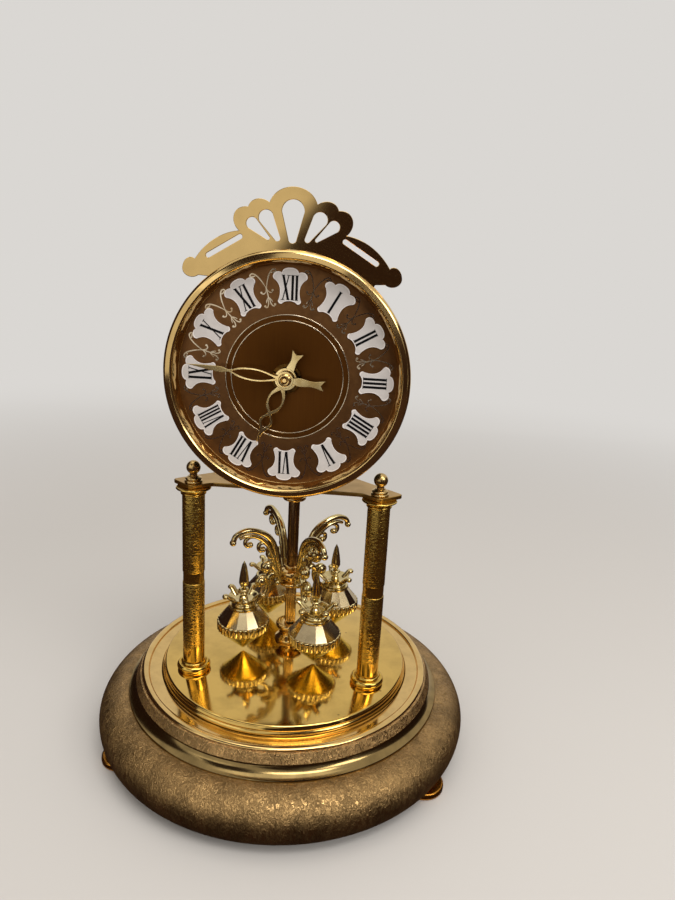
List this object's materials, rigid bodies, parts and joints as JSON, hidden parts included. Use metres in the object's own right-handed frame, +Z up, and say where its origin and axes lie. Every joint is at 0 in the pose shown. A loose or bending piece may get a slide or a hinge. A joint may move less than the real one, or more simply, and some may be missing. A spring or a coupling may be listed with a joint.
{
  "type": "table clock",
  "caption": "Gilt table clock with a round dial and pierced crest on columns, over a rotating pendulum of fluted weights and a round stepped base.",
  "frame": {"origin": "on the table under the middle of the base", "axes": "+Z up, the dial faces -Y, +X to the right of someone who reads the dial"},
  "size_m": [0.179, 0.179, 0.2541],
  "materials": {
    "polished_brass": "polished and lacquered",
    "mirror_brass": "mirror polished",
    "textured_brass": "bark-textured, antiqued",
    "satin_brass": "satin",
    "column_brass": "hammered texture",
    "pale_gilt": "plated and polished",
    "brown_dial": "printed, satin",
    "steel": "bright turned",
    "dark_plastic": "moulded",
    "pale_plastic": "moulded",
    "copper_wire": "enamelled wire",
    "cell_jacket": "plain jacket",
    "black_iron": "sintered"
  },
  "bodies": {
    "stand": {"foot_front_right": "polished_brass", "foot_front_left": "polished_brass", "foot_rear": "polished_brass", "base_cove_ring": "polished_brass", "pendulum_guide": "polished_brass", "column_foot_left": "polished_brass", "column_foot_right": "polished_brass", "finial_left": "polished_brass", "finial_right": "polished_brass", "bezel": "polished_brass", "crest": "polished_brass", "pendulum_bush": "polished_brass", "base_disc": "mirror_brass", "base_skirt": "textured_brass", "base_rim": "textured_brass", "base_bottom_plate": "satin_brass", "top_plate": "satin_brass", "column_shaft_left": "column_brass", "column_shaft_right": "column_brass", "column_capital_left": "column_brass", "column_capital_right": "column_brass", "dial_plate": "brown_dial", "tie_rod_left": "steel", "tie_rod_right": "steel", "dial_pan": "steel", "dial_nut": "steel", "battery_contact_minus": "steel", "battery_contact_plus": "steel", "movement_case": "dark_plastic", "movement_cover": "dark_plastic", "quartz_motor": "dark_plastic", "bearing_plate": "pale_plastic", "drive_coil": "copper_wire", "battery": "cell_jacket"},
    "minute_train": {"minute_hand": "satin_brass", "centre_arbor": "steel", "hand_nut": "polished_brass"},
    "hour_train": {"hour_hand": "satin_brass", "hour_wheel": "pale_plastic"},
    "setting": {"minute_wheel": "pale_plastic", "set_knob": "dark_plastic"},
    "pendulum": {"pendulum_shaft": "steel", "drive_magnet": "black_iron", "rod_sleeve": "column_brass", "pendulum_hub": "polished_brass", "fluted_spindle": "polished_brass", "scroll_arm_1": "polished_brass", "scroll_arm_2": "polished_brass", "scroll_arm_3": "polished_brass", "scroll_arm_4": "polished_brass", "weight_1": "pale_gilt", "weight_2": "pale_gilt", "weight_3": "pale_gilt", "weight_4": "pale_gilt", "crown_1": "polished_brass", "crown_2": "polished_brass", "crown_3": "polished_brass", "crown_4": "polished_brass"}
  },
  "joints": [
    {"name": "minute_turn", "type": "hinge", "parent": "stand", "child": "minute_train", "pos_m": [0, 0, 0.1808], "axis": [0, 1, 0], "continuous": true},
    {"name": "hour_turn", "type": "hinge", "parent": "stand", "child": "hour_train", "pos_m": [0, 0, 0.1808], "axis": [0, 1, 0], "continuous": true},
    {"name": "setting_turn", "type": "hinge", "parent": "stand", "child": "setting", "pos_m": [0, 0, 0.1952], "axis": [0, 1, 0], "continuous": true},
    {"name": "pendulum_swing", "type": "hinge", "parent": "stand", "child": "pendulum", "pos_m": [0, 0.0125, 0], "axis": [0, 0, 1], "range_deg": [-150, 150]}
  ],
  "couplings": [
    {"joint": "hour_turn", "follows": "minute_turn", "ratio": 0.083333},
    {"joint": "setting_turn", "follows": "minute_turn", "ratio": -0.33333}
  ]
}
